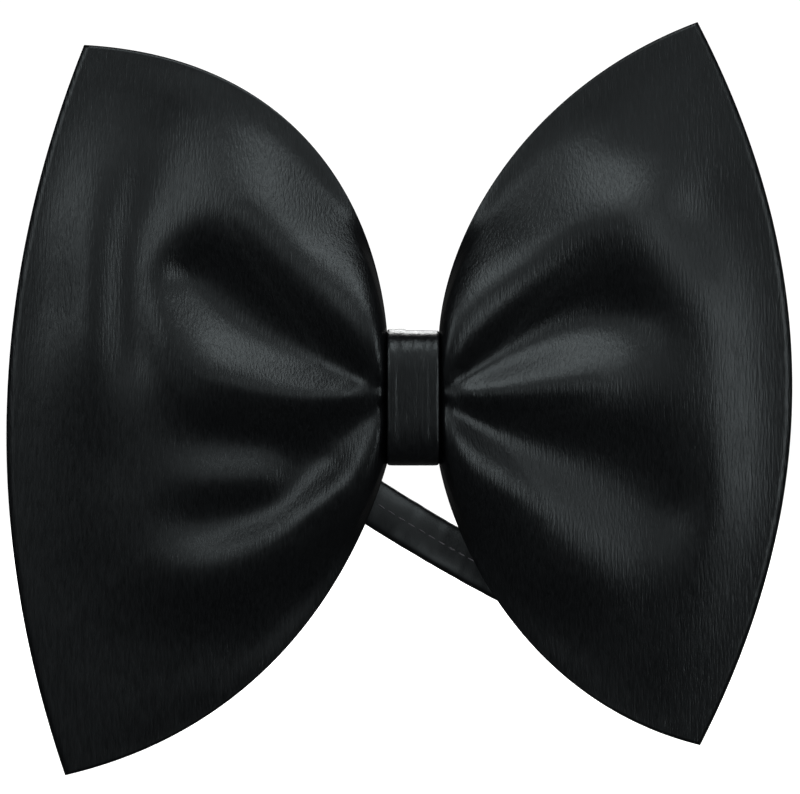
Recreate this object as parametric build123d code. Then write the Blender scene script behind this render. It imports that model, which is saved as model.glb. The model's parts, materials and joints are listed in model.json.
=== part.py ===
from build123d import *
import math
import os

# Pre-tied satin bow tie on an adjustable neck band. Millimetres, +Z up, +X to the wearer's left,
# -Y forwards. The origin is the middle of the knot's flat back, where it sits on the collar button.

# Knot: a strip of satin wrapped round the pinched middle of the bow and round the neck band.
KNOT_WIDTH = 7.9
KNOT_HEIGHT = 21.3
KNOT_DEPTH = 18.0
KNOT_WALL = 1.0
KNOT_CORNER = 2.6
LINING_THICKNESS = 0.8
LINING_WIDTH = 7.0

# Bow: the corner points that steer the upper and lower edge of each wing, as (x, z).
LEFT_UPPER = [(-3.95, 9.3), (-6.0, 30.0), (-18.0, 52.0), (-50.3, 54.0)]
LEFT_LOWER = [(-3.95, -9.3), (-8.0, -24.0), (-20.0, -50.0), (-53.2, -57.7)]
RIGHT_UPPER = [(3.95, 9.3), (5.0, 26.0), (18.0, 48.0), (43.5, 57.5)]
RIGHT_LOWER = [(3.95, -9.3), (6.6, -24.0), (18.6, -47.0), (43.9, -53.1)]
LEFT_BULGE = -10.4
RIGHT_BULGE = 14.3
PINCH_HALF_HEIGHT = 8.4
PINCH_PRESS = 0.9
PUFF_LEAN = 0.25
MIDDLE_Y = -10.6
EDGE_GAP = 0.3
CLOTH = 0.6
FRONT_PINCH = 3.9
FRONT_PUFF = 5.5
BACK_PINCH = 2.2
BACK_PUFF = 1.5
INTERLINING_INSET = 0.93
INTERLINING_THICKNESS = 0.4
COLUMNS = 9
ROWS = 9

# Threads and stitches.
STITCH_LENGTH = 2.2
STITCH_SIZE = 0.3
EDGE_STITCHES = 21
EDGE_STITCH_PLACE = 0.975
BACK_STITCHES = 13
BACK_STITCH_FIRST = 0.165
BACK_STITCH_STEP = 0.065
BACK_STITCH_LIFT = 0.06
THREAD = 0.45
THREAD_CLEARANCE = 0.35
THREAD_CORNER = 1.0
THREAD_TURNS = 3
THREAD_STEP = 0.7
KNOT_STITCHES = 5
KNOT_STITCH_STEP = 1.4
KNOT_STITCH_Y = -4.2
KNOT_STITCH_LEAN = 70

# Neck band: a flat satin tube round an elastic, worn as a ring that leans down behind the neck.
RING_RADIUS = 58.0
BAND_WIDTH = 8.4
BAND_THICKNESS = 2.0
BAND_WALL = 0.45
ELASTIC_PLAY = 0.1
BAND_Y = -3.6
RING_ROLL = 33.0
RING_TILT = 9.8
BAND_END_PLAY = 0.2
HOLLOW_INSET_ANGLE = 2.5
SEAM_HEIGHT = 0.2
SEAM_FROM_EYE_ANGLE = 9.0
SEAM_FROM_HOOK_ANGLE = 3.0

# Closure: the angle is counted round the ring from the knot, towards the -X side.
CLOSURE_ANGLE = 146.0
WIRE = 1.2
WIRE_EDGE = 0.4
LOOP_CORNER = 1.2
LOOP_INNER_CORNER = 0.5
HOLE_RADIUS = 1.0
FOLD_RADIUS = 1.9
LOOP_HALF_WIDTH = 5.6
EYE_BAR = -6.2
HOOK_BAR = 10.5
HOOK_FRONT = 5.8
TONGUE_HALF_WIDTH = 1.8
TONGUE_REACH = 2.5
TONGUE_LOW = -1.2
TONGUE_UNDER = 1.0
TONGUE_TOP = 2.0
TAIL_END_ANGLE = 92.0
TAIL_INNER = 1.1
TAIL_OUTER = 2.3
TAIL_STITCHES = 5
TAIL_STITCH_STEP = 1.5
TAIL_STITCH_LENGTH = 1.0
TAIL_STITCH_ANGLE = 0.4
TAB_LENGTH_ANGLE = 7.5
TAB_THICKNESS = 0.7
TACK_FROM_END_ANGLE = 2.2
TACK_STEP_ANGLE = 1.1
TACK_ANGLE = 0.5
TACK_MARGIN = 0.6
TACK_HEIGHT = 0.2

# Adjuster: a three-bar slide that both layers of the band run through.
ADJUSTER_ANGLE = 108.0
ADJUSTER_HALF_ANGLE = 4.4
ADJUSTER_BAR_ANGLE = 1.5
ADJUSTER_RAIL = 1.2
ADJUSTER_PLAY = 0.4
ADJUSTER_BAR_PLAY = 0.3
ADJUSTER_LOW = -2.4
ADJUSTER_HIGH = 3.6


def save(node, shape):
    """Write one sub-part, named as its node."""
    shape.label = node
    export_step(shape, f"parts/{node}.step")
    print(f"{node:22s} {shape.volume:9.2f} mm3")


# --- Bow -----------------------------------------------------------------------------------


def bezier(points, t):
    """A point of the cubic curve steered by four points."""
    weights = ((1 - t) ** 3, 3 * t * (1 - t) ** 2, 3 * t * t * (1 - t), t ** 3)
    return tuple(sum(w * p[i] for w, p in zip(weights, points)) for i in (0, 1))


def bow_point(side, t, v):
    """(x, z) on a wing: t runs from the knot to the outer edge, v from lower to upper edge."""
    upper, lower = (LEFT_UPPER, LEFT_LOWER) if side < 0 else (RIGHT_UPPER, RIGHT_LOWER)
    bulge = LEFT_BULGE if side < 0 else RIGHT_BULGE
    top, bottom = bezier(upper, t), bezier(lower, t)
    w = (v + 1) / 2
    x = bottom[0] * (1 - w) + top[0] * w + bulge * (1 - v * v) * t ** 3
    return x, bottom[1] * (1 - w) + top[1] * w


def puff(t, v, pinch, height):
    """How far a panel stands off the middle of the bow: full near the knot, flat at the outer edge."""
    full = math.sin(math.pi * t) * (1 - PUFF_LEAN * t)
    return (1 - v ** 4) * (pinch * (1 - t) + height * full)


def bow_grid(offset, pinch, height, inset=1.0):
    """Points of a sheet right across the bow, offset from its middle; a plus sign is backwards."""
    columns = [(-1, t / COLUMNS * inset) for t in range(COLUMNS, -1, -1)]
    columns += [(0, 0.0)]
    columns += [(1, t / COLUMNS * inset) for t in range(COLUMNS + 1)]
    sign = 1 if offset > 0 else -1
    grid = []
    for side, t in columns:
        row = []
        for j in range(ROWS):
            v = (2 * j / (ROWS - 1) - 1) * inset
            if side:
                x, z = bow_point(side, t, v)
                stand = puff(t, v, pinch, height)
            else:
                x, z = 0.0, PINCH_HALF_HEIGHT * v
                stand = puff(0, v, pinch, height) * PINCH_PRESS
            row.append((x, MIDDLE_Y + offset + sign * stand, z))
        grid.append(row)
    return grid


def sheet(grid_a, grid_b):
    """A closed cloth solid between two grids of points with matching edges."""
    face_a = Face.make_surface_from_array_of_points(grid_a, tol=0.02)
    face_b = Face.make_surface_from_array_of_points(grid_b, tol=0.02)
    sides = []
    for edge_a in face_a.edges():
        edge_b = min(face_b.edges(), key=lambda e: ((e @ 0.5) - (edge_a @ 0.5)).length)
        same_way = ((edge_a @ 0) - (edge_b @ 0)).length < ((edge_a @ 0) - (edge_b @ 1)).length
        sides.append(Face.make_surface_from_curves(edge_a, edge_b if same_way else edge_b.reversed()))
    solid = Solid(Shell([face_a, face_b, *sides]))
    return solid.fix()


def stitch(x, y, z, turn=0.0, length=STITCH_LENGTH):
    """One small straight stitch, lying along X before it is turned about Y."""
    return Pos(x, y, z) * Rot(0, turn, 0) * Box(length, STITCH_SIZE, STITCH_SIZE)


def make_bow():
    outer = EDGE_GAP + CLOTH
    front_faces = [bow_grid(-offset, FRONT_PINCH, FRONT_PUFF) for offset in (outer, EDGE_GAP)]
    save("front_panel", sheet(*front_faces))
    back_faces = [bow_grid(offset, BACK_PINCH, BACK_PUFF) for offset in (outer, EDGE_GAP)]
    save("back_panel", sheet(*back_faces))
    half = INTERLINING_THICKNESS / 2
    felt_faces = [bow_grid(offset, 0, 0, INTERLINING_INSET) for offset in (-half, half)]
    save("interlining", sheet(*felt_faces))


def make_edge_stitches():
    """Running stitches that close the two outer edges, between the panels."""
    for side, name in ((-1, "left_edge_stitches"), (1, "right_edge_stitches")):
        stitches = []
        for k in range(EDGE_STITCHES):
            v = (2 * k + 2) / (EDGE_STITCHES + 1) - 1
            x, z = bow_point(side, EDGE_STITCH_PLACE, v)
            next_x, next_z = bow_point(side, EDGE_STITCH_PLACE, v + 0.02)
            lean = math.degrees(math.atan2(next_z - z, next_x - x))
            stitches.append(stitch(x, MIDDLE_Y, z, -lean))
        save(name, Compound(children=stitches))


def make_back_seam():
    """The seam that closes the folded cloth, along the middle of the back of each wing."""
    stitches = []
    for side in (-1, 1):
        for k in range(BACK_STITCHES):
            t = BACK_STITCH_FIRST + BACK_STITCH_STEP * k
            x, z = bow_point(side, t, 0)
            rise = puff(t, 0, BACK_PINCH, BACK_PUFF)
            next_x = bow_point(side, t + 0.01, 0)[0]
            slope = (puff(t + 0.01, 0, BACK_PINCH, BACK_PUFF) - rise) / (next_x - x)
            y = MIDDLE_Y + EDGE_GAP + CLOTH + rise + STITCH_SIZE / 2 + BACK_STITCH_LIFT
            lean = Rot(0, 0, math.degrees(math.atan(slope)))
            stitches.append(Pos(x, y, z) * lean * Box(STITCH_LENGTH, STITCH_SIZE, STITCH_SIZE))
    save("back_seam_stitches", Compound(children=stitches))


def loop(depth, height, wall, corner, width, middle_y):
    """A closed strip of cloth or thread standing round the X axis."""
    plane = Plane.YZ.offset(-width / 2)
    hole = RectangleRounded(depth - 2 * wall, height - 2 * wall, corner - wall)
    ring = RectangleRounded(depth, height, corner) - hole
    return Pos(0, middle_y, 0) * extrude(plane * ring, width)


def make_gather_thread():
    """Three turns of thread that pinch the middle of the bow."""
    front = MIDDLE_Y - EDGE_GAP - CLOTH - PINCH_PRESS * FRONT_PINCH
    back = MIDDLE_Y + EDGE_GAP + CLOTH + PINCH_PRESS * BACK_PINCH
    depth = back - front + 2 * (THREAD + THREAD_CLEARANCE)
    height = 2 * (PINCH_HALF_HEIGHT + THREAD + THREAD_CLEARANCE)
    turns = []
    for k in range(THREAD_TURNS):
        turn = loop(depth, height, THREAD, THREAD_CORNER, THREAD, (front + back) / 2)
        turns.append(Pos(THREAD_STEP * (k - (THREAD_TURNS - 1) / 2), 0, 0) * turn)
    save("gather_thread", Compound(children=turns))


# --- Knot ----------------------------------------------------------------------------------


def make_knot():
    middle = -KNOT_DEPTH / 2
    save("knot_wrap", loop(KNOT_DEPTH, KNOT_HEIGHT, KNOT_WALL, KNOT_CORNER, KNOT_WIDTH, middle))

    lining_y = -KNOT_DEPTH + KNOT_WALL + LINING_THICKNESS / 2
    lining_height = KNOT_HEIGHT - 2 * KNOT_CORNER
    save("knot_lining", Pos(0, lining_y, 0) * Box(LINING_WIDTH, LINING_THICKNESS, lining_height))

    stitches = []
    for k in range(KNOT_STITCHES):
        x = (k - (KNOT_STITCHES - 1) / 2) * KNOT_STITCH_STEP
        place = Pos(x, KNOT_STITCH_Y, -KNOT_HEIGHT / 2 - STITCH_SIZE / 2) * Rot(0, 0, KNOT_STITCH_LEAN)
        stitches.append(place * Box(STITCH_LENGTH, STITCH_SIZE, STITCH_SIZE))
    save("knot_stitches", Compound(children=stitches))


# --- Neck band -----------------------------------------------------------------------------
# Band pieces are made in the ring's own plane, with its centre at the origin and the knot at -Y.

TO_KNOT = Pos(0, BAND_Y, 0) * Rot(0, RING_ROLL, 0) * Rot(-RING_TILT, 0, 0) * Pos(0, RING_RADIUS, 0)


def arc_bar(low, high, angle_from, angle_to, z_from, z_to):
    """A bar bent round the ring, low and high being its heights over the band's middle line."""
    section = Polyline((RING_RADIUS + low, 0, z_from), (RING_RADIUS + high, 0, z_from),
                       (RING_RADIUS + high, 0, z_to), (RING_RADIUS + low, 0, z_to), close=True)
    bar = revolve(make_face(section), axis=Axis.Z, revolution_arc=angle_to - angle_from)
    return Rot(0, 0, 270 - angle_to) * bar


def closure_plane():
    """X runs along the band towards the hook's fold, Y outwards, with the eye's hook bar at the origin."""
    angle = math.radians(270 - CLOSURE_ANGLE)
    return Plane(origin=(RING_RADIUS * math.cos(angle), RING_RADIUS * math.sin(angle), 0),
                 x_dir=(-math.sin(angle), math.cos(angle), 0), z_dir=(0, 0, -1))


def across(sketch, half_width):
    """Stretch a shape drawn on the closure plane across the band."""
    return extrude(closure_plane() * sketch, half_width, both=True)


def wire_loop(start, end, half_width):
    """A flat closed loop of thick wire from start to end along the band, with its edges rounded."""
    length = end - start + WIRE
    wide = 2 * half_width
    hole = RectangleRounded(length - 2 * WIRE, wide - 2 * WIRE, LOOP_INNER_CORNER)
    frame = RectangleRounded(length, wide, LOOP_CORNER) - hole
    flat = extrude(frame, WIRE / 2, both=True)
    straight = flat.edges().filter_by(GeomType.LINE).filter_by(Axis.Z, reverse=True)
    flat = fillet(straight, WIRE_EDGE)
    # The loop is drawn flat, then stood on the closure plane: its width runs across the band.
    plane = closure_plane()
    stand = Plane(origin=plane.origin, x_dir=plane.x_dir, z_dir=plane.y_dir)
    return stand.location * Pos((start + end) / 2, 0, 0) * flat


def make_band():
    half = BAND_THICKNESS / 2
    wide = BAND_WIDTH / 2
    hook_end = CLOSURE_ANGLE - math.degrees((HOOK_BAR - BAND_END_PLAY) / RING_RADIUS)
    eye_end = CLOSURE_ANGLE + math.degrees((BAND_END_PLAY - EYE_BAR) / RING_RADIUS) - 360
    hook_fold = across(Pos(HOOK_BAR, 0) * Circle(FOLD_RADIUS), wide + 1)
    eye_fold = across(Pos(EYE_BAR, 0) * Circle(FOLD_RADIUS), wide + 1)

    cover = arc_bar(-half, half, eye_end, hook_end, -wide, wide) - hook_fold - eye_fold
    hollow = half - BAND_WALL
    inside = wide - BAND_WALL
    hollow_hook = hook_end - HOLLOW_INSET_ANGLE
    hollow_eye = eye_end + HOLLOW_INSET_ANGLE
    cover -= arc_bar(-hollow, hollow, hollow_eye, hollow_hook, -inside, inside)
    save("neck_band", TO_KNOT * cover)
    play = ELASTIC_PLAY
    elastic = arc_bar(-hollow + play, hollow - play, hollow_eye + play, hollow_hook - play,
                      -inside + play, inside - play)
    save("band_elastic", TO_KNOT * elastic)
    seam = arc_bar(-half - SEAM_HEIGHT, -half, eye_end + SEAM_FROM_EYE_ANGLE,
                   hook_end - SEAM_FROM_HOOK_ANGLE, -SEAM_HEIGHT, SEAM_HEIGHT)
    save("band_seam", TO_KNOT * seam)

    bar_hole = across(Pos(HOOK_BAR, 0) * Circle(HOLE_RADIUS), wide + 1)
    tail = arc_bar(TAIL_INNER, TAIL_OUTER, TAIL_END_ANGLE, hook_end, -wide, wide)
    turn = across(Pos(HOOK_BAR, 0) * Circle(FOLD_RADIUS), wide)
    save("band_tail", TO_KNOT * (tail + turn - bar_hole))

    stitches = []
    first = TAIL_END_ANGLE + 1
    for k in range(TAIL_STITCHES):
        z = (k - (TAIL_STITCHES - 1) / 2) * TAIL_STITCH_STEP
        stitches.append(arc_bar(TAIL_OUTER, TAIL_OUTER + SEAM_HEIGHT, first, first + TAIL_STITCH_ANGLE,
                                z - TAIL_STITCH_LENGTH / 2, z + TAIL_STITCH_LENGTH / 2))
    save("tail_stitches", TO_KNOT * Compound(children=stitches))

    tab_end = eye_end + TAB_LENGTH_ANGLE
    outer_leg = arc_bar(half, half + TAB_THICKNESS, eye_end, tab_end, -wide, wide)
    inner_leg = arc_bar(-half - TAB_THICKNESS, -half, eye_end, tab_end, -wide, wide)
    eye_turn = across(Pos(EYE_BAR, 0) * Circle(FOLD_RADIUS), wide)
    eye_hole = across(Pos(EYE_BAR, 0) * Circle(HOLE_RADIUS), wide + 1)
    save("eye_tab", TO_KNOT * (outer_leg + inner_leg + eye_turn - eye_hole))
    tack_low = half + TAB_THICKNESS
    tack_half = wide - TACK_MARGIN
    bartacks = []
    for k in range(2):
        start = tab_end - TACK_FROM_END_ANGLE + TACK_STEP_ANGLE * k
        bartacks.append(arc_bar(tack_low, tack_low + TACK_HEIGHT, start, start + TACK_ANGLE,
                                -tack_half, tack_half))
    save("eye_bartacks", TO_KNOT * Compound(children=bartacks))


def make_hardware():
    save("eye", TO_KNOT * wire_loop(EYE_BAR, 0, LOOP_HALF_WIDTH))

    # The tongue rises from the hook's front bar, runs over the eye's bar and turns down behind it.
    tip = -TONGUE_REACH
    tongue = Polyline((HOOK_FRONT + 0.3, 0.2), (HOOK_FRONT + 0.3, 1.2), (HOOK_FRONT - 1.0, TONGUE_TOP),
                      (tip + 0.5, TONGUE_TOP), (tip, TONGUE_TOP - 0.4), (tip, TONGUE_LOW),
                      (tip + 1.0, TONGUE_LOW), (tip + 1.0, TONGUE_UNDER), (HOOK_FRONT - 1.4, TONGUE_UNDER),
                      (HOOK_FRONT - 0.3, 0.2), close=True)
    hook = wire_loop(HOOK_FRONT, HOOK_BAR, LOOP_HALF_WIDTH) + across(make_face(tongue), TONGUE_HALF_WIDTH)
    save("hook", TO_KNOT * hook)

    inner = BAND_WIDTH / 2 + ADJUSTER_PLAY
    outer = inner + ADJUSTER_RAIL
    first = ADJUSTER_ANGLE - ADJUSTER_HALF_ANGLE
    last = ADJUSTER_ANGLE + ADJUSTER_HALF_ANGLE
    adjuster = arc_bar(ADJUSTER_LOW, ADJUSTER_HIGH, first, last, -outer, -inner)
    adjuster += arc_bar(ADJUSTER_LOW, ADJUSTER_HIGH, first, last, inner, outer)
    outer_bar_low = TAIL_OUTER + ADJUSTER_BAR_PLAY
    for start in (first, last - ADJUSTER_BAR_ANGLE):
        adjuster += arc_bar(outer_bar_low, ADJUSTER_HIGH, start, start + ADJUSTER_BAR_ANGLE, -outer, outer)
    inner_bar_high = -BAND_THICKNESS / 2 - SEAM_HEIGHT - ADJUSTER_BAR_PLAY
    start = ADJUSTER_ANGLE - ADJUSTER_BAR_ANGLE / 2
    adjuster += arc_bar(ADJUSTER_LOW, inner_bar_high, start, start + ADJUSTER_BAR_ANGLE, -outer, outer)
    save("adjuster", TO_KNOT * adjuster)


os.makedirs("parts", exist_ok=True)
make_bow()
make_edge_stitches()
make_back_seam()
make_gather_thread()
make_knot()
make_band()
make_hardware()
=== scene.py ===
import json
import math
import bmesh
import bpy
import numpy as np
from mathutils import Matrix, Vector


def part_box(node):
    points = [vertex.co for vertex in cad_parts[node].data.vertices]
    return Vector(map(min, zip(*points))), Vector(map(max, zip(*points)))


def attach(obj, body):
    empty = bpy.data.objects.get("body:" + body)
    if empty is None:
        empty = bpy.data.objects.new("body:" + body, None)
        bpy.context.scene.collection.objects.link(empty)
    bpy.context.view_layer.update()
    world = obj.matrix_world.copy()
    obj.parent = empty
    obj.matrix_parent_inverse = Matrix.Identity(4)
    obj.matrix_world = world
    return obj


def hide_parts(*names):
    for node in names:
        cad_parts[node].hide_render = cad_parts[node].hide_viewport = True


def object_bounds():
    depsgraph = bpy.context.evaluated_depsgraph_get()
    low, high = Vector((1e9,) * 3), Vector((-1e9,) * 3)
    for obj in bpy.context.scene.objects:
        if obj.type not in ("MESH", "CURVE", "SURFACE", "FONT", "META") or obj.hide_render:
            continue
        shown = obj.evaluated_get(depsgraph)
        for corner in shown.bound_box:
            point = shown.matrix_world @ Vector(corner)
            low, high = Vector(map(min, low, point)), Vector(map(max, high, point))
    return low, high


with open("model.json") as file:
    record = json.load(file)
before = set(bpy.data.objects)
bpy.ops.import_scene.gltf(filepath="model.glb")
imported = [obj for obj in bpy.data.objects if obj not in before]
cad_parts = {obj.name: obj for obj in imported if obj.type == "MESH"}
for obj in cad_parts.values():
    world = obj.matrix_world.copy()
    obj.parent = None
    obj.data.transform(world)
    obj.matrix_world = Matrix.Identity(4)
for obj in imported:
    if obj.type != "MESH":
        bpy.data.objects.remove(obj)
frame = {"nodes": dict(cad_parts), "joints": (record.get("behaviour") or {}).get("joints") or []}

cad_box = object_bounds()
MM = 0.001


# --- Camera, floor and light -------------------------------------------------------------------
# The bow tie is seen square on from the front, from far enough away to keep its outline true.
# It stands on a plain pale floor in a white room: one big soft light above and in front, one on
# each side, a weak one by the camera and one behind.

FLOOR_GAP = 0.3
FLOOR_RADIUS = 14.0
VIEW_DISTANCE = 0.65
VIEW_WIDTH = 0.1224
WING_PLANE = -0.0106
camera_data = bpy.data.cameras.new("front_camera")
camera_data.sensor_width = 36
camera_data.lens = 36 * (VIEW_DISTANCE + WING_PLANE) / VIEW_WIDTH
camera = bpy.data.objects.new("front_camera", camera_data)
camera.location = (-2.0 * MM, -VIEW_DISTANCE, 0.15 * MM)
camera.rotation_euler = (math.radians(90), 0, 0)
bpy.context.collection.objects.link(camera)
bpy.context.scene.camera = camera
bpy.context.scene.view_settings.view_transform = "Standard"


def deselect():
    """Leave nothing selected, because an operator acts on all that is."""
    if bpy.context.object and bpy.context.object.mode != "OBJECT":
        bpy.ops.object.mode_set(mode="OBJECT")
    bpy.ops.object.select_all(action="DESELECT")


deselect()
floor_height = cad_box[0][2] - FLOOR_GAP * MM
bpy.ops.mesh.primitive_circle_add(vertices=96, radius=FLOOR_RADIUS, fill_type="NGON",
                                  location=(0, 0, floor_height))
floor = bpy.context.object
floor.name = "floor"
paper = bpy.data.materials.new("white_paper")
paper.use_nodes = True
paper_shader = paper.node_tree.nodes["Principled BSDF"]
paper_shader.inputs["Base Color"].default_value = (0.96, 0.96, 0.96, 1)
paper_shader.inputs["Roughness"].default_value = 0.9
paper_shader.inputs["Specular IOR Level"].default_value = 0.1
floor.data.materials.append(paper)
floor.visible_glossy = False


def soft_light(name, place, width, height, watts, target=(0, 0, 0)):
    """A rectangular softbox that faces a point of the bow."""
    data = bpy.data.lights.new(name, "AREA")
    data.shape = "RECTANGLE"
    data.size = width
    data.size_y = height
    data.energy = watts
    light = bpy.data.objects.new(name, data)
    light.location = place
    aim = Vector(target) - Vector(place)
    light.rotation_euler = aim.to_track_quat("-Z", "Y").to_euler()
    bpy.context.collection.objects.link(light)


soft_light("front_softbox", (0.16, -0.66, 0.66), width=0.45, height=0.5, watts=10.0)
soft_light("left_softbox", (-0.60, -0.75, 0.32), width=0.25, height=0.5, watts=6.0)
soft_light("right_softbox", (0.62, -0.70, 0.02), width=0.25, height=0.4, watts=5.5)
soft_light("camera_softbox", (0.0, -1.1, 0.22), width=0.6, height=0.4, watts=1.2)
soft_light("back_softbox", (0.1, 0.9, 0.7), width=0.6, height=0.4, watts=12.0)

world = bpy.data.worlds.new("white_room")
bpy.context.scene.world = world
world.use_nodes = True
world.cycles.sampling_method = "NONE"
room = world.node_tree
room.nodes.clear()
ray = room.nodes.new("ShaderNodeLightPath")
dim = room.nodes.new("ShaderNodeBackground")
dim.inputs["Color"].default_value = (1, 1, 1, 1)
dim.inputs["Strength"].default_value = 0.06
bright = room.nodes.new("ShaderNodeBackground")
bright.inputs["Color"].default_value = (1, 1, 1, 1)
bright.inputs["Strength"].default_value = 1.1
choice = room.nodes.new("ShaderNodeMixShader")
room.links.new(ray.outputs["Is Glossy Ray"], choice.inputs["Fac"])
room.links.new(bright.outputs["Background"], choice.inputs[1])
room.links.new(dim.outputs["Background"], choice.inputs[2])
sky = room.nodes.new("ShaderNodeOutputWorld")
room.links.new(choice.outputs["Shader"], sky.inputs["Surface"])


# --- Front panel -------------------------------------------------------------------------------
# One piece of black polyester satin right across both wings. The knot squeezes its middle into
# pleats, which open into three soft rolls on each wing, and it is flat along the outer edges.

LEFT_UPPER = [(-3.95, 10.0), (-5.6, 30.0), (-18.0, 52.2), (-50.3, 54.0)]
LEFT_LOWER = [(-3.95, -10.0), (-8.0, -24.0), (-20.0, -50.0), (-53.2, -57.7)]
RIGHT_UPPER = [(3.95, 10.0), (5.0, 26.0), (18.0, 48.0), (43.5, 57.5)]
RIGHT_LOWER = [(3.95, -10.0), (6.6, -24.0), (18.6, -47.0), (43.9, -53.1)]
LEFT_BULGE = -10.4
RIGHT_BULGE = 14.3
MIDDLE_Y = -10.6
SEAM_GAP = 0.35
CLOTH = 0.35
SOFTENING = 5
PLATE_SLACK = 2.0
FRONT_PINCH = 3.9
FRONT_PUFF = 4.2
FULL_BY = 0.1
CROWN = 1.8
EDGE_FADE = 0.12
RIM_FADE = 0.16
LEAST_STAND = 0.05
FOLD_DEPTH = 0.75

# A fold is its crest or valley line: points (x, z, height) in mm, from the knot outwards.
# The flats are places on each wing where the cloth isn't lifted at all.
LEFT_FOLDS = [
    [(-4.6, 2.4, 0.8), (-12.2, 11.9, 1.9), (-19.3, 21.6, 2.7), (-25.4, 29.0, 2.6),
     (-31.5, 31.5, 1.6)],
    [(-5, 1.5, -0.8), (-17.3, 5.9, -2.0), (-28.5, 12.6, -2.2), (-35.8, 19, -1.4)],
    [(-4.9, 0.5, 0.6), (-17.3, 0.9, 1.2), (-28.5, 2.4, 1.6), (-37.2, 4.6, 1.6), (-39.4, 11, 1.6),
     (-39.2, 20.1, 1.4), (-36.5, 26.5, 1.0)],
    [(-4.5, -0.8, -0.8), (-14.2, -5.6, -1.8), (-22.4, -7.6, -1.9), (-32, -7.4, -1.2)],
    [(-38.0, -11.6, 0.7), (-31, -12.4, 0.5), (-22.4, -12.4, -0.2)],
    [(-12.2, -10.8, -1.0), (-19.3, -15.6, -1.2), (-27.5, -19.2, -1.1), (-34.4, -19.6, -0.5)],
    [(-4.2, -3.2, 0.6), (-9.1, -9.9, 1.0), (-19.3, -19.4, 1.4), (-28.5, -23.4, 1.6),
     (-35.2, -24.4, 1.5), (-39.8, -20.5, 1.0), (-40.6, -11.5, 0.9), (-40.8, -3.3, 0.9)],
    [(-37.4, 42, -0.6), (-41.5, 30.3, -0.5), (-43.2, 17, -0.3), (-43.2, 6, -0.1)],
    [(-45, 36, 0.9), (-46.6, 24, 2.0), (-47.2, 12, 2.3), (-47, 2, 1.7), (-47, -9, 0.8)],
]
RIGHT_FOLDS = [
    [(4.9, 2.6, 0.8), (12.3, 11.2, 1.5), (18.4, 18.6, 2.4), (24.5, 25.6, 2.7), (30.7, 29.2, 2.6),
     (35.8, 26.4, 2.4), (38.4, 18, 2.2), (41.4, 10.9, 1.9), (45.2, 3.8, 1.8), (47.3, -4.4, 1.9),
     (46.8, -14.6, 1.9), (42.9, -27.0, 1.0)],
    [(5.4, 1.4, -0.8), (14.3, 6.8, -2.0), (22.5, 11.6, -2.3), (30.2, 13.7, -1.9),
     (34.6, 12.4, -0.9)],
    [(5.4, 0.6, 0.6), (15.3, 1.9, 1.1), (24.5, 3.2, 1.3), (32.7, 3.8, 0.7)],
    [(4.9, -0.8, -0.8), (14.3, -5.4, -1.8), (24.5, -8.9, -2.2), (33.7, -12.6, -1.8),
     (39.2, -17.5, -1.0)],
    [(4.9, -3.2, 0.7), (12.3, -11, 1.0), (20.5, -19.5, 1.2), (27.6, -25.6, 1.1),
     (33.7, -29.4, 0.5)],
]
LEFT_FLATS = [(-12, -22), (-20, -28), (-30, -34), (-40, -36), (-48, -26), (-30, -46), (-50, -45),
              (-26, 43), (-36, 48), (-48, 46), (-58, 15), (-59, -10), (-12, 27), (-17, 33)]
RIGHT_FLATS = [(24, 38), (36, 42), (44, 34), (50, 20), (12, 26), (12, -20), (24, -32), (34, -42),
               (43, -48), (54, 4), (55, -10), (52, -26), (44, 50), (20, 35), (31, 37), (43, 27)]


COLUMN_CROWDING = 1.25
ROW_CROWDING = 0.45


def bezier(points, t):
    """Points of the cubic curve steered by four points, for an array of t."""
    weights = ((1 - t) ** 3, 3 * t * (1 - t) ** 2, 3 * t * t * (1 - t), t ** 3)
    return [sum(w * p[i] for w, p in zip(weights, points)) for i in (0, 1)]


def wing_points(side, t, v):
    """x and z on a wing in mm: t runs from knot to outer edge, v from lower to upper edge."""
    upper, lower = (LEFT_UPPER, LEFT_LOWER) if side < 0 else (RIGHT_UPPER, RIGHT_LOWER)
    bulge = LEFT_BULGE if side < 0 else RIGHT_BULGE
    top, bottom = bezier(upper, t), bezier(lower, t)
    w = (v + 1) / 2
    x = bottom[0] * (1 - w) + top[0] * w + bulge * (1 - v * v) * t ** 3
    return x, bottom[1] * (1 - w) + top[1] * w


def smooth_line(points, pieces=3):
    """More points on a smooth line through a few."""
    p = [np.array(q, float) for q in points]
    p = [2 * p[0] - p[1], *p, 2 * p[-1] - p[-2]]
    line = []
    for a, b, c, d in zip(p, p[1:], p[2:], p[3:]):
        for k in range(pieces):
            s = k / pieces
            line.append(0.5 * (2 * b + (c - a) * s + (2 * a - 5 * b + 4 * c - d) * s * s
                               + (3 * b - a - 3 * c + d) * s ** 3))
    line.append(p[-2])
    return line


def plate_bend(distance_squared):
    """How a thin plate bends round a single point that holds it."""
    return distance_squared * np.log(distance_squared + 1e-9)


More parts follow.
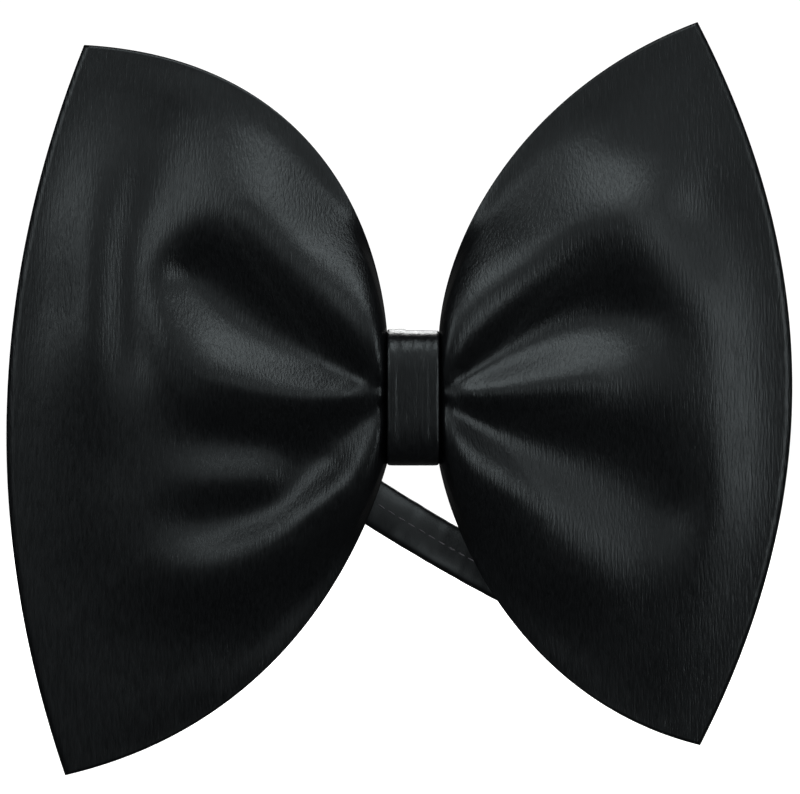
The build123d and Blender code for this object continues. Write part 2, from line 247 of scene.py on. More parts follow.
def fold_height(x, z, folds, flats):
    """How far the folds lift the cloth, in mm: a thin springy plate laid over the folds."""
    held = [p for fold in folds for p in smooth_line(fold)] + [np.array((*p, 0.0)) for p in flats]
    held = np.array(held)
    count = len(held)
    apart = (held[:, None, 0] - held[None, :, 0]) ** 2 + (held[:, None, 1] - held[None, :, 1]) ** 2
    system = np.zeros((count + 3, count + 3))
    system[:count, :count] = plate_bend(apart) + np.eye(count) * PLATE_SLACK
    system[:count, count] = system[count, :count] = 1
    system[:count, count + 1] = system[count + 1, :count] = held[:, 0]
    system[:count, count + 2] = system[count + 2, :count] = held[:, 1]
    weights = np.linalg.solve(system, np.concatenate([held[:, 2], np.zeros(3)]))
    total = weights[count] + weights[count + 1] * x + weights[count + 2] * z
    for (px, pz, _), weight in zip(held, weights):
        total = total + weight * plate_bend((x - px) ** 2 + (z - pz) ** 2)
    return total


def soften(height, rounds):
    """Round off the folds, as thick cloth does, by averaging each point with its neighbours."""
    for _ in range(rounds):
        for axis in (0, 1):
            wide = np.concatenate([height.take([0], axis), height, height.take([-1], axis)], axis)
            last = height.shape[axis]
            before, after = wide.take(range(last), axis), wide.take(range(2, last + 2), axis)
            height = 0.5 * height + 0.25 * (before + after)
    return height


def fade_out(distance, reach):
    """1 inside a sheet, falling smoothly to 0 over the last stretch before its edge."""
    share = np.clip(distance / reach, 0, 1)
    return share * share * (3 - 2 * share)


def panel_stand(side, t, v, x, z, pinch, puff, folds):
    """How far a panel stands off the middle of the bow: its own fullness, and its folds on top."""
    across = 1 - np.abs(v) ** CROWN
    body = (1 - t) * (pinch + puff * (1 - np.exp(-t / FULL_BY)))
    edge = fade_out(1 - t, EDGE_FADE)
    rim = fade_out(1 - np.abs(v), RIM_FADE)
    folded = FOLD_DEPTH * soften(fold_height(x, z, *folds), SOFTENING)
    return np.maximum(across * body + folded * edge * rim, LEAST_STAND)


def panel_grid(columns, rows, sign, pinch, puff, folds):
    """Points of a panel right across the bow, closer together at the knot and along its upper and
    lower edges; sign is -1 for the front."""
    even = np.linspace(-1, 1, rows)
    v = np.sin(even * math.pi / 2) * ROW_CROWDING + even * (1 - ROW_CROWDING)
    points = []
    for side in (-1, 1):
        t = np.linspace(0, 1, columns) ** COLUMN_CROWDING
        if side < 0:
            t = t[::-1]
        tt, vv = np.meshgrid(t, v, indexing="ij")
        x, z = wing_points(side, tt, vv)
        stand = panel_stand(side, tt, vv, x, z, pinch, puff, folds[side])
        points.append(np.stack([x, MIDDLE_Y + sign * (SEAM_GAP + stand), z], axis=-1))
    return np.concatenate(points)


def cloth_from_grid(name, grid, flip):
    """A sheet of cloth with its own UV map, from a grid of points in mm."""
    columns, rows = grid.shape[:2]
    verts = (grid.reshape(-1, 3) * MM).tolist()
    faces = []
    for i in range(columns - 1):
        for j in range(rows - 1):
            a = i * rows + j
            quad = (a, a + rows, a + rows + 1, a + 1)
            faces.append(quad[::-1] if flip else quad)
    mesh = bpy.data.meshes.new(name)
    mesh.from_pydata(verts, [], faces)
    uv = mesh.uv_layers.new(name="cloth")
    for loop in mesh.loops:
        i, j = divmod(loop.vertex_index, rows)
        uv.data[loop.index].uv = (i / (columns - 1), j / (rows - 1))
    mesh.polygons.foreach_set("use_smooth", [True] * len(mesh.polygons))
    sheet = bpy.data.objects.new(name, mesh)
    bpy.context.collection.objects.link(sheet)
    return sheet


def thicken(piece, thickness, offset):
    """Give a sheet its thickness, in mm, and keep it."""
    deselect()
    piece.select_set(True)
    bpy.context.view_layer.objects.active = piece
    wall = piece.modifiers.new("thickness", "SOLIDIFY")
    wall.thickness = thickness * MM
    wall.offset = offset
    wall.use_even_offset = False
    bpy.ops.object.modifier_apply(modifier="thickness")


def satin_threads():
    """Fine satin threads: streaks a fraction of a millimetre wide, up and down the cloth."""
    group = bpy.data.node_groups.new("satin_threads", "ShaderNodeTree")
    for name, kind in (("Thread Width mm", "NodeSocketFloat"), ("Contrast", "NodeSocketFloat"),
                       ("Base Roughness", "NodeSocketFloat"), ("Cloth Color", "NodeSocketColor")):
        group.interface.new_socket(name=name, in_out="INPUT", socket_type=kind)
    for name, kind in (("Color", "NodeSocketColor"), ("Roughness", "NodeSocketFloat"),
                       ("Height", "NodeSocketFloat")):
        group.interface.new_socket(name=name, in_out="OUTPUT", socket_type=kind)
    nodes, links = group.nodes, group.links
    given, result = nodes.new("NodeGroupInput"), nodes.new("NodeGroupOutput")
    place = nodes.new("ShaderNodeTexCoord")
    squeeze = nodes.new("ShaderNodeMapping")
    squeeze.inputs["Scale"].default_value = (1.0, 1.0, 0.12)
    links.new(place.outputs["Object"], squeeze.inputs["Vector"])
    per_metre = nodes.new("ShaderNodeMath")
    per_metre.operation = "DIVIDE"
    per_metre.inputs[0].default_value = 1000.0
    links.new(given.outputs["Thread Width mm"], per_metre.inputs[1])
    streak = nodes.new("ShaderNodeTexNoise")
    streak.inputs["Detail"].default_value = 2.0
    streak.inputs["Roughness"].default_value = 0.65
    links.new(squeeze.outputs["Vector"], streak.inputs["Vector"])
    links.new(per_metre.outputs["Value"], streak.inputs["Scale"])
    cloudy = nodes.new("ShaderNodeTexNoise")
    cloudy.inputs["Scale"].default_value = 90.0
    cloudy.inputs["Detail"].default_value = 3.0
    links.new(place.outputs["Object"], cloudy.inputs["Vector"])
    spread = nodes.new("ShaderNodeMapRange")
    spread.inputs["From Min"].default_value = 0.3
    spread.inputs["From Max"].default_value = 0.7
    spread.inputs["To Min"].default_value = -1.0
    spread.inputs["To Max"].default_value = 1.0
    links.new(streak.outputs["Fac"], spread.inputs["Value"])
    vary = nodes.new("ShaderNodeMath")
    vary.operation = "MULTIPLY_ADD"
    vary.inputs[2].default_value = 1.0
    links.new(spread.outputs["Result"], vary.inputs[0])
    links.new(given.outputs["Contrast"], vary.inputs[1])
    tint = nodes.new("ShaderNodeVectorMath")
    tint.operation = "SCALE"
    links.new(given.outputs["Cloth Color"], tint.inputs[0])
    links.new(vary.outputs["Value"], tint.inputs["Scale"])
    links.new(tint.outputs["Vector"], result.inputs["Color"])
    wear = nodes.new("ShaderNodeMapRange")
    wear.inputs["To Min"].default_value = -0.06
    wear.inputs["To Max"].default_value = 0.06
    links.new(cloudy.outputs["Fac"], wear.inputs["Value"])
    grain = nodes.new("ShaderNodeMath")
    grain.operation = "MULTIPLY_ADD"
    grain.inputs[1].default_value = 0.04
    links.new(spread.outputs["Result"], grain.inputs[0])
    links.new(wear.outputs["Result"], grain.inputs[2])
    rough = nodes.new("ShaderNodeMath")
    rough.operation = "ADD"
    links.new(given.outputs["Base Roughness"], rough.inputs[0])
    links.new(grain.outputs["Value"], rough.inputs[1])
    links.new(rough.outputs["Value"], result.inputs["Roughness"])
    links.new(streak.outputs["Fac"], result.inputs["Height"])
    return group


THREADS = satin_threads()


def satin(name, color, roughness, thread=0.28, contrast=0.35, bump=0.02, shine=0.13):
    """Black satin: a dark cloth with a broad soft shine and fine thread streaks."""
    material = bpy.data.materials.new(name)
    material.use_nodes = True
    nodes, links = material.node_tree.nodes, material.node_tree.links
    shader = nodes["Principled BSDF"]
    threads = nodes.new("ShaderNodeGroup")
    threads.node_tree = THREADS
    threads.inputs["Thread Width mm"].default_value = thread
    threads.inputs["Contrast"].default_value = contrast
    threads.inputs["Base Roughness"].default_value = roughness
    threads.inputs["Cloth Color"].default_value = (*color, 1)
    relief = nodes.new("ShaderNodeBump")
    relief.inputs["Distance"].default_value = bump * MM
    links.new(threads.outputs["Color"], shader.inputs["Base Color"])
    links.new(threads.outputs["Roughness"], shader.inputs["Roughness"])
    links.new(threads.outputs["Height"], relief.inputs["Height"])
    links.new(relief.outputs["Normal"], shader.inputs["Normal"])
    shader.inputs["Anisotropic"].default_value = 0.3
    shader.inputs["Specular IOR Level"].default_value = shine
    shader.inputs["Specular Tint"].default_value = (0.86, 0.97, 1.0, 1)
    return material


BOW_SATIN = satin("bow_satin", (0.0007, 0.00075, 0.0009), 0.36, thread=0.32, bump=0.07)

PANEL_COLUMNS = 120
PANEL_ROWS = 136
front_folds = {-1: (LEFT_FOLDS, LEFT_FLATS), 1: (RIGHT_FOLDS, RIGHT_FLATS)}
front_grid = panel_grid(PANEL_COLUMNS, PANEL_ROWS, -1, FRONT_PINCH, FRONT_PUFF, front_folds)
front = cloth_from_grid("front_panel_cloth", front_grid, flip=False)
thicken(front, CLOTH, -1)
front.data.materials.append(BOW_SATIN)
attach(front, "bow")
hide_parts("front_panel")


# --- Back panel --------------------------------------------------------------------------------
# The same satin closes the bow behind. It lies flatter than the front, with shallow pleats that
# run out from the knot, and its closing seam is slip-stitched along the middle of each wing.

BACK_PINCH = 2.0
BACK_PUFF = 1.5
PLEAT_HEIGHT = 0.9
HOLLOW_HEIGHT = -0.8
PLEAT_FAN = 0.27


def back_pleats(side):
    """Five shallow pleats that fan out from the knot, with hollows between them."""
    pleats = []
    for k in range(9):
        lean = (k - 4) * PLEAT_FAN
        height = PLEAT_HEIGHT if k % 2 == 0 else HOLLOW_HEIGHT
        pleats.append([(side * 4, 3.4 * lean, 0.4 * height), (side * 13, 10.5 * lean, height),
                       (side * 23, 18 * lean, 0.8 * height), (side * 33, 25 * lean, 0.2 * height)])
    flats = [(side * 45, z) for z in (-40, -20, 0, 20, 40)]
    flats += [(side * 57, 0), (side * 25, 42), (side * 25, -42)]
    return pleats, flats


back_folds = {-1: back_pleats(-1), 1: back_pleats(1)}
back_grid = panel_grid(PANEL_COLUMNS, PANEL_ROWS, 1, BACK_PINCH, BACK_PUFF, back_folds)
back = cloth_from_grid("back_panel_cloth", back_grid, flip=True)
thicken(back, CLOTH, -1)
back.data.materials.append(BOW_SATIN)
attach(back, "bow")
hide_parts("back_panel")


# --- Interlining and knot lining ---------------------------------------------------------------
# Pressed non-woven stiffener between the panels, and a pad of it under the front of the knot.
# Both are closed in by the satin.

def fibre_felt(name, color, scale):
    """Pressed fibres: a matt cloth with no weave."""
    material = bpy.data.materials.new(name)
    material.use_nodes = True
    nodes, links = material.node_tree.nodes, material.node_tree.links
    shader = nodes["Principled BSDF"]
    place = nodes.new("ShaderNodeTexCoord")
    fibres = nodes.new("ShaderNodeTexNoise")
    fibres.inputs["Scale"].default_value = scale
    fibres.inputs["Detail"].default_value = 6.0
    fibres.inputs["Distortion"].default_value = 1.5
    shade = nodes.new("ShaderNodeMapRange")
    shade.inputs["To Min"].default_value = 0.8
    shade.inputs["To Max"].default_value = 0.98
    shader.inputs["Specular IOR Level"].default_value = 0.15
    ramp = nodes.new("ShaderNodeMix")
    ramp.data_type = "RGBA"
    ramp.inputs[6].default_value = (*[c * 0.6 for c in color], 1)
    ramp.inputs[7].default_value = (*[c * 1.4 for c in color], 1)
    relief = nodes.new("ShaderNodeBump")
    relief.inputs["Distance"].default_value = 0.05 * MM
    links.new(place.outputs["Object"], fibres.inputs["Vector"])
    links.new(fibres.outputs["Fac"], ramp.inputs["Factor"])
    links.new(fibres.outputs["Fac"], shade.inputs["Value"])
    links.new(fibres.outputs["Fac"], relief.inputs["Height"])
    links.new(ramp.outputs[2], shader.inputs["Base Color"])
    links.new(shade.outputs["Result"], shader.inputs["Roughness"])
    links.new(relief.outputs["Normal"], shader.inputs["Normal"])
    return material


def finish_node(node, material):
    """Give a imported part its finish, in place of the plain one it came with."""
    piece = frame["nodes"][node]
    piece.data.materials.clear()
    piece.data.materials.append(material)
    return piece


FELT = fibre_felt("stiffener_felt", (0.03, 0.03, 0.032), 2500)
finish_node("interlining", FELT)
finish_node("knot_lining", FELT)


# --- Threads and stitches ----------------------------------------------------------------------
# Black polyester thread: three turns pinch the middle of the bow, and small stitches close the
# outer edges, the back seam, the knot, the band and its ends. Each stitch is a plump short loop.

def spun_thread():
    """Twisted thread, with fine slanting plies."""
    material = bpy.data.materials.new("spun_thread")
    material.use_nodes = True
    nodes, links = material.node_tree.nodes, material.node_tree.links
    shader = nodes["Principled BSDF"]
    place = nodes.new("ShaderNodeTexCoord")
    plies = nodes.new("ShaderNodeTexWave")
    plies.wave_type = "BANDS"
    plies.bands_direction = "DIAGONAL"
    plies.inputs["Scale"].default_value = 1400.0
    plies.inputs["Distortion"].default_value = 2.0
    shade = nodes.new("ShaderNodeMix")
    shade.data_type = "RGBA"
    shade.inputs[6].default_value = (0.006, 0.006, 0.007, 1)
    shade.inputs[7].default_value = (0.022, 0.022, 0.025, 1)
    shader.inputs["Specular IOR Level"].default_value = 0.15
    rough = nodes.new("ShaderNodeMapRange")
    rough.inputs["To Min"].default_value = 0.5
    rough.inputs["To Max"].default_value = 0.7
    relief = nodes.new("ShaderNodeBump")
    relief.inputs["Distance"].default_value = 0.04 * MM
    links.new(place.outputs["Object"], plies.inputs["Vector"])
    links.new(plies.outputs["Fac"], shade.inputs["Factor"])
    links.new(plies.outputs["Fac"], rough.inputs["Value"])
    links.new(plies.outputs["Fac"], relief.inputs["Height"])
    links.new(shade.outputs[2], shader.inputs["Base Color"])
    links.new(rough.outputs["Result"], shader.inputs["Roughness"])
    links.new(relief.outputs["Normal"], shader.inputs["Normal"])
    return material


THREAD = spun_thread()
for name in ("gather_thread", "left_edge_stitches", "right_edge_stitches"):
    finish_node(name, THREAD)


def one_stitch():
    """A plump stitch 1 m long and 1 m thick about the origin, to be scaled and placed."""
    deselect()
    bpy.ops.mesh.primitive_uv_sphere_add(segments=10, ring_count=8, radius=0.5,
                                         rotation=(0, math.pi / 2, 0))
    stitch = bpy.context.object
    bpy.ops.object.transform_apply(location=False, rotation=True, scale=False)
    for vert in stitch.data.vertices:
        vert.co.x = 0.5 * math.copysign(abs(2 * vert.co.x) ** 0.7, vert.co.x)
    return stitch


def stitch_row(name, ends, thickness, body, *nodes):
    """A row of stitches, each a start, an end and an outward direction, all in metres."""
    pattern = one_stitch()
    deselect()
    copies = []
    for start, end, outward in ends:
        along = Vector(end) - Vector(start)
        x_axis = along.normalized()
        y_axis = Vector(outward).cross(x_axis).normalized()
        z_axis = x_axis.cross(y_axis)
        turn = Matrix((x_axis, y_axis, z_axis)).transposed().to_4x4()
        size = Matrix.Diagonal((along.length, thickness * MM, thickness * MM, 1))
        stitch = bpy.data.objects.new(name, pattern.data.copy())
        stitch.data.transform(Matrix.Translation((Vector(start) + Vector(end)) / 2) @ turn @ size)
        bpy.context.collection.objects.link(stitch)
        stitch.select_set(True)
        copies.append(stitch)
    bpy.context.view_layer.objects.active = copies[0]
    bpy.ops.object.join()
    row = bpy.context.object
    row.name = name
    bpy.ops.object.shade_smooth()
    row.data.materials.clear()
    row.data.materials.append(THREAD)
    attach(row, body)
    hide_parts(*nodes)
    bpy.data.objects.remove(pattern)
    return row


BACK_STITCH = 2.2
BACK_STITCH_STEP = 3.4
BACK_STITCH_LIFT = 0.08


def back_seam():
    """Slip stitches that follow the middle of the back panel."""
    ends = []
    middle = PANEL_ROWS // 2
    for first, last in ((6, PANEL_COLUMNS - 16), (PANEL_COLUMNS + 16, 2 * PANEL_COLUMNS - 6)):
        line = back_grid[first:last, middle] * MM
        steps = np.linalg.norm(np.diff(line, axis=0), axis=1)
        run = np.concatenate([[0], np.cumsum(steps)])
        lift = Vector((0, BACK_STITCH_LIFT * MM, 0))
        for start in np.arange(0.5 * MM, run[-1] - 3 * MM, BACK_STITCH_STEP * MM):
            pair = [Vector([np.interp(s, run, line[:, i]) for i in range(3)]) + lift
                    for s in (start, start + BACK_STITCH * MM)]
            ends.append((pair[0], pair[1], (0, 1, 0)))
    return ends


stitch_row("back_seam_thread", back_seam(), 0.32, "bow", "back_seam_stitches")


# --- Knot --------------------------------------------------------------------------------------
# A folded strip of the same satin wrapped tight round the middle, with soft lengthwise creases,
# rounded sides and a small step at the top where its end is tucked under.

KNOT_COLUMNS = 26
KNOT_AROUND = 220
KNOT_SQUARENESS = 5.0
KNOT_TIGHTNESS = 0.97
KNOT_CLOTH = 0.8
KNOT_ROLLED_IN = 0.75
KNOT_STEP = 0.25
KNOT_STEP_END = -1.2
KNOT_STITCH_LIFT = 0.55
# Each crease is its place across the knot, its depth and its width, in mm.
KNOT_CREASES = [(-2.3, 0.16, 0.5), (-0.6, 0.10, 0.7), (1.1, 0.18, 0.5), (2.7, 0.12, 0.4)]


def knot_outline(count):
    """Points round the knot's side view, each (y, z) and outward (y, z) in mm, from mid back."""
    low, high = [np.array(corner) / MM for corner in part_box("knot_wrap")]
    half_y, half_z = (high[1] - low[1]) / 2, (high[2] - low[2]) / 2 * KNOT_TIGHTNESS
    middle_y = (high[1] + low[1]) / 2
    points = []
    for k in range(count):
        angle = 2 * math.pi * k / count
        c, s = math.cos(angle), math.sin(angle)
        power = 2 / KNOT_SQUARENESS
        y = math.copysign(abs(c) ** power, c)
        z = math.copysign(abs(s) ** power, s)
        out = Vector((math.copysign(abs(c) ** (2 - power), c) / half_y,
                      math.copysign(abs(s) ** (2 - power), s) / half_z)).normalized()
        points.append((middle_y + half_y * y, half_z * z, out.x, out.y))
    return points


def knot_cloth():
    """The knot's outer face: a closed loop of cloth, creased lengthwise, its sides rolled in."""
    low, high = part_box("knot_wrap")
    half = (high[0] - low[0]) / 2 / MM
    outline = knot_outline(KNOT_AROUND)
    verts, faces = [], []
    for k, (y, z, out_y, out_z) in enumerate(outline):
        around = 2 * math.pi * k / KNOT_AROUND
        front = max(0.0, -math.cos(around))
        for j in range(KNOT_COLUMNS + 1):
            u = 2 * j / KNOT_COLUMNS - 1
            x = half * math.sin(u * math.pi / 2)
            sink = -KNOT_ROLLED_IN * (1 - math.sqrt(max(0.0, 1 - abs(u) ** 7)))
            for place, depth, width in KNOT_CREASES:
                wander = place + 0.25 * math.sin(3 * around + place)
                sink -= depth * front * math.exp(-((x - wander) / width) ** 2)
            at_top = max(0.0, math.sin(around)) ** 12
            sink += KNOT_STEP * at_top * (1 if x < KNOT_STEP_END else 0.2)
            verts.append((x * MM, (y + out_y * sink) * MM, (z + out_z * sink) * MM))
    row = KNOT_COLUMNS + 1
    for k in range(KNOT_AROUND):
        for j in range(KNOT_COLUMNS):
            a, b = k * row + j, (k + 1) % KNOT_AROUND * row + j
            faces.append((a, b, b + 1, a + 1))
    mesh = bpy.data.meshes.new("knot_cloth")
    mesh.from_pydata(verts, [], faces)
    mesh.polygons.foreach_set("use_smooth", [True] * len(mesh.polygons))
    knot = bpy.data.objects.new("knot_cloth", mesh)
    bpy.context.collection.objects.link(knot)
    return knot


knot = knot_cloth()
thicken(knot, KNOT_CLOTH, -1)
knot.data.materials.append(BOW_SATIN)
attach(knot, "bow")
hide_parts("knot_wrap")


def island_stitches(node, lift=(0, 0, 0)):
    """Where each stitch of a packed row lies: the ends of every separate little bar."""
    mesh = frame["nodes"][node].data.copy()
    shape = bmesh.new()
    shape.from_mesh(mesh)
    bmesh.ops.remove_doubles(shape, verts=shape.verts, dist=1e-6)
    ends, left = [], set(shape.verts)
    for seed in list(shape.verts):
        if seed not in left:
            continue
        group, queue = [], [seed]
        left.discard(seed)
        while queue:
            vert = queue.pop()
            group.append(vert.co.copy())
            for edge in vert.link_edges:
                other = edge.other_vert(vert)
                if other in left:
                    left.discard(other)
                    queue.append(other)
        middle = sum(group, Vector()) / len(group)
        spread = np.linalg.svd(np.array([tuple(p - middle) for p in group]))[2]
        along = Vector(spread[0])
        reach = max(abs((p - middle).dot(along)) for p in group)
        middle = middle + Vector(lift)
        ends.append((middle - along * reach, middle + along * reach, Vector(spread[2])))
    shape.free()
    bpy.data.meshes.remove(mesh)
    return sorted(ends, key=lambda e: tuple(e[0]))


knot_ends = island_stitches("knot_stitches", lift=(0, 0, KNOT_STITCH_LIFT * MM))
stitch_row("knot_thread", knot_ends, 0.34, "bow", "knot_stitches")


# --- Neck band ---------------------------------------------------------------------------------
# A tube of satin over woven elastic, about 8 mm wide. It runs round the neck and through the
# knot. One end is folded round the eye; the other turns round the hook and comes back through
# the slide, so that the wearer can set its length.

joints = {joint["name"]: joint for joint in frame["joints"]}
RING_CENTRE = Vector(joints["band_shift"]["pos_m"])
RING_AXIS = Vector(joints["band_shift"]["axis"]).normalized()
BAND_AT_KNOT = Vector((0, -3.6 * MM, 0))
TO_KNOT = (BAND_AT_KNOT - RING_CENTRE).normalized()
TO_LEFT = -RING_AXIS.cross(TO_KNOT)
RING_RADIUS = (BAND_AT_KNOT - RING_CENTRE).length
RING_RADIUS_MM = 58
BAND_HALF_WIDTH = 4.2
CLOSURE_ANGLE = 146.0
TAIL_ANGLE = 92.0


def outward(angle):
    """Straight out of the ring at an angle counted from the knot, in degrees."""
    a = math.radians(angle)
    return math.cos(a) * TO_KNOT + math.sin(a) * TO_LEFT


def on_ring(angle, height):
    """A point over the band's middle line, with the height in mm."""
    return RING_CENTRE + outward(angle) * (RING_RADIUS + height * MM)


def arc_path(first, last, height, steps, out_sign=1):
    """A path round the ring between two angles, at a height over the band's middle line in mm."""
    angles = [first + (last - first) * k / steps for k in range(steps + 1)]
    return [(on_ring(angle, height), out_sign * outward(angle)) for angle in angles]


def flat_tube(name, path, profile, ripple=None):
    """Cloth along a path of (point, outward direction); its profile is (outward, across) in mm."""
    verts, faces = [], []
    count = len(profile)
    for k, (point, out) in enumerate(path):
        for j, (rise, wide) in enumerate(profile):
            extra = ripple(k, j) if ripple else 0.0
            sideways = RING_AXIS * (wide * (1 + 0.15 * extra)) * MM
            verts.append(point + out * (rise * (1 + extra)) * MM + sideways)
    for k in range(len(path) - 1):
        for j in range(count):
            a, b = k * count + j, k * count + (j + 1) % count
            faces.append((a, b, b + count, a + count))
    first, last = list(range(count)), list(range((len(path) - 1) * count, len(path) * count))
    for ring, turned in ((first, True), (last, False)):
        centre = sum((verts[i] for i in ring), Vector()) / count
        verts.append(centre)
        hub = len(verts) - 1
        for j in range(count):
            a, b = ring[j], ring[(j + 1) % count]
            faces.append((b, a, hub) if turned else (a, b, hub))
    mesh = bpy.data.meshes.new(name)
    mesh.from_pydata([tuple(v) for v in verts], [], faces)
    shape = bmesh.new()
    shape.from_mesh(mesh)
    bmesh.ops.recalc_face_normals(shape, faces=shape.faces)
    shape.to_mesh(mesh)
    shape.free()
    mesh.polygons.foreach_set("use_smooth", [True] * len(mesh.polygons))
    tube = bpy.data.objects.new(name, mesh)
    bpy.context.collection.objects.link(tube)
    return tube


def rounded_section(thickness, width, points, power):
    """A flattened round section, in mm."""
    section = []
    for k in range(points):
        a = 2 * math.pi * k / points
        c, s = math.cos(a), math.sin(a)
        section.append((thickness / 2 * math.copysign(abs(c) ** (2 / power), c),
                        width / 2 * math.copysign(abs(s) ** (2 / power), s)))
    return section


BAND_SATIN = satin("band_satin", (0.0009, 0.00095, 0.0011), 0.38, thread=0.22, shine=0.09)
EYE_END_RUN = 6.4
HOOK_END_RUN = 12.6
EYE_END_ANGLE = CLOSURE_ANGLE + math.degrees(EYE_END_RUN / RING_RADIUS_MM) - 360
HOOK_END_ANGLE = CLOSURE_ANGLE - math.degrees(HOOK_END_RUN / RING_RADIUS_MM)
BAND_END_GAP_ANGLE = 1.6
BAND_STEPS = 520
BAND_SECTION = rounded_section(2.1, 2 * BAND_HALF_WIDTH, 36, 2.7)


def band_pucker(k, j):
    """The satin puckers a little over the elastic: three uneven waves, as shares of its height."""
    around = k / BAND_STEPS * math.radians(345) * RING_RADIUS_MM
    section = 2 * math.pi * j / len(BAND_SECTION)
    short_wave = 0.025 * math.sin(around * 1.31 + 1.2 * math.sin(section))
    slow_wave = 0.020 * math.sin(around * 0.77 + 2.0 * section)
    return short_wave + slow_wave + 0.015 * math.sin(around * 2.2 - section)


band_path = arc_path(EYE_END_ANGLE + BAND_END_GAP_ANGLE, HOOK_END_ANGLE, 0, BAND_STEPS)
band = flat_tube("neck_band_cloth", band_path, BAND_SECTION, band_pucker)
band.data.materials.append(BAND_SATIN)
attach(band, "band")
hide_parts("neck_band")


def ribbed_elastic():
    """Woven elastic with ribs across it."""
    material = fibre_felt("ribbed_elastic", (0.02, 0.02, 0.021), 1200)
    ribs = material.node_tree.nodes.new("ShaderNodeTexWave")
    ribs.inputs["Scale"].default_value = 300.0
    relief = material.node_tree.nodes["Bump"]
    place = material.node_tree.nodes["Texture Coordinate"]
    material.node_tree.links.new(place.outputs["Object"], ribs.inputs["Vector"])
    material.node_tree.links.new(ribs.outputs["Fac"], relief.inputs["Height"])
    return material


finish_node("band_elastic", ribbed_elastic())

seam_ends = []
for k in range(150):
    angle = EYE_END_ANGLE + 9 + 2.2 * k
    if angle < HOOK_END_ANGLE - 3:
        seam_ends.append((on_ring(angle, -1.07), on_ring(angle + 1.5, -1.07), -outward(angle)))
stitch_row("band_seam_thread", seam_ends, 0.3, "band", "band_seam")

hook_bar = Vector(joints["hook_release"]["pos_m"])
eye_bar = Vector(joints["eye_flip"]["pos_m"])
CLOSURE_OUT = outward(CLOSURE_ANGLE)
TO_HOOK = RING_AXIS.cross(CLOSURE_OUT)


def round_bar(bar, radius, first, last, steps):
    """A path round a bar: the angle is counted from outward, turning towards the hook's fold."""
    path = []
    for k in range(steps + 1):
        a = math.radians(first + (last - first) * k / steps)
        out = math.cos(a) * CLOSURE_OUT + math.sin(a) * TO_HOOK
        path.append((bar + out * radius * MM, out))
    return path


TAIL_HEIGHT = 1.72
TAIL_LAST_ANGLE = 132.5
tail_path = arc_path(TAIL_ANGLE, TAIL_LAST_ANGLE, TAIL_HEIGHT, 90)
tail_path += round_bar(hook_bar, 1.5, 0, -185, 40)
tail = flat_tube("band_tail_cloth", tail_path, rounded_section(1.1, 2 * BAND_HALF_WIDTH, 28, 4.0))
tail.data.materials.append(BAND_SATIN)
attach(tail, "band")
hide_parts("band_tail")
stitch_row("tail_thread", island_stitches("tail_stitches"), 0.34, "band", "tail_stitches")

TAB_ANGLE = EYE_END_ANGLE + 360 + 7.2
TAB_LAST_ANGLE = CLOSURE_ANGLE + 7.0
TAB_HEIGHT = 1.38
outer_leg = arc_path(TAB_ANGLE, TAB_LAST_ANGLE, TAB_HEIGHT, 24)
inner_leg = arc_path(TAB_ANGLE, TAB_LAST_ANGLE, -TAB_HEIGHT, 24, out_sign=-1)
tab_path = outer_leg + round_bar(eye_bar, 1.4, 0, 180, 36) + inner_leg[::-1]
tab = flat_tube("eye_tab_cloth", tab_path, rounded_section(0.7, 2 * BAND_HALF_WIDTH, 28, 4.0))
tab.data.materials.append(BAND_SATIN)
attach(tab, "band")
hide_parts("eye_tab")

TACK_HEIGHT = 1.78
tack_ends = []
for k in range(2):
    angle = TAB_ANGLE - 1.0 - 1.2 * k
    for step in range(9):
        across = (step - 4) * 0.8 * MM
        start = on_ring(angle - 0.35, TACK_HEIGHT) + RING_AXIS * (across - 0.25 * MM)
        end = on_ring(angle + 0.35, TACK_HEIGHT) + RING_AXIS * (across + 0.25 * MM)
        tack_ends.append((start, end, outward(angle)))
stitch_row("eye_bartack_thread", tack_ends, 0.32, "band", "eye_bartacks")


# --- Hook, eye and slide -----------------------------------------------------------------------
# Nickel-plated steel: the hook's tongue drops through the eye, each turns on the bar that the
# band is folded round, and the three-bar slide grips both layers of the band.

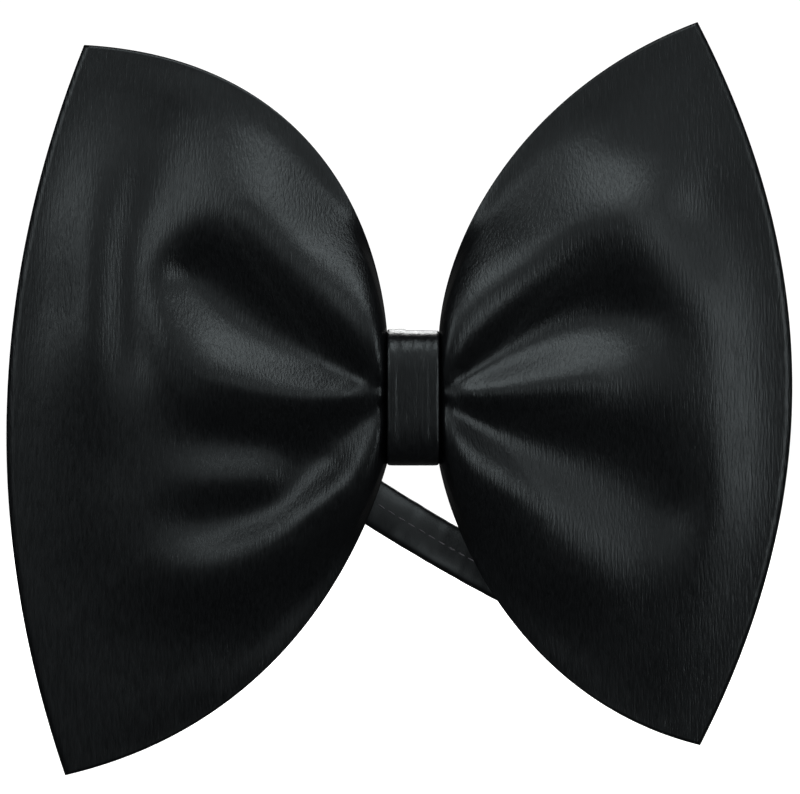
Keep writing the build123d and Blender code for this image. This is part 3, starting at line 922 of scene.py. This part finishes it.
def nickel():
    """Plated steel with fine polishing marks, a little duller where it is handled."""
    material = bpy.data.materials.new("nickel_plate")
    material.use_nodes = True
    nodes, links = material.node_tree.nodes, material.node_tree.links
    shader = nodes["Principled BSDF"]
    place = nodes.new("ShaderNodeTexCoord")
    squeeze = nodes.new("ShaderNodeMapping")
    squeeze.inputs["Scale"].default_value = (1.0, 1.0, 8.0)
    marks = nodes.new("ShaderNodeTexNoise")
    marks.inputs["Scale"].default_value = 1500.0
    marks.inputs["Detail"].default_value = 4.0
    clouds = nodes.new("ShaderNodeTexNoise")
    clouds.inputs["Scale"].default_value = 250.0
    tone = nodes.new("ShaderNodeMix")
    tone.data_type = "RGBA"
    tone.inputs[6].default_value = (0.50, 0.49, 0.47, 1)
    tone.inputs[7].default_value = (0.72, 0.71, 0.69, 1)
    rough = nodes.new("ShaderNodeMapRange")
    rough.inputs["To Min"].default_value = 0.20
    rough.inputs["To Max"].default_value = 0.32
    relief = nodes.new("ShaderNodeBump")
    relief.inputs["Distance"].default_value = 0.002 * MM
    links.new(place.outputs["Object"], squeeze.inputs["Vector"])
    links.new(squeeze.outputs["Vector"], marks.inputs["Vector"])
    links.new(place.outputs["Object"], clouds.inputs["Vector"])
    links.new(clouds.outputs["Fac"], tone.inputs["Factor"])
    links.new(marks.outputs["Fac"], rough.inputs["Value"])
    links.new(marks.outputs["Fac"], relief.inputs["Height"])
    links.new(tone.outputs[2], shader.inputs["Base Color"])
    links.new(rough.outputs["Result"], shader.inputs["Roughness"])
    links.new(relief.outputs["Normal"], shader.inputs["Normal"])
    shader.inputs["Metallic"].default_value = 1.0
    return material


NICKEL = nickel()


def softened_part(node, name, edge, body):
    """A metal part with its stamped edges rounded."""
    part = bpy.data.objects.new(name, frame["nodes"][node].data.copy())
    bpy.context.collection.objects.link(part)
    shape = bmesh.new()
    shape.from_mesh(part.data)
    bmesh.ops.remove_doubles(shape, verts=shape.verts, dist=1e-6)
    bmesh.ops.dissolve_limit(shape, angle_limit=math.radians(2), verts=shape.verts,
                             edges=shape.edges)
    shape.to_mesh(part.data)
    shape.free()
    deselect()
    part.select_set(True)
    bpy.context.view_layer.objects.active = part
    rounding = part.modifiers.new("rounding", "BEVEL")
    rounding.width = edge * MM
    rounding.segments = 3
    rounding.limit_method = "ANGLE"
    rounding.angle_limit = math.radians(40)
    bpy.ops.object.modifier_apply(modifier="rounding")
    bpy.ops.object.shade_smooth_by_angle(angle=math.radians(35))
    part.data.materials.clear()
    part.data.materials.append(NICKEL)
    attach(part, body)
    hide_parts(node)


softened_part("adjuster", "slide_plate", 0.28, "adjuster")
softened_part("hook", "hook_plate", 0.12, "hook")
softened_part("eye", "eye_loop", 0.08, "eye")
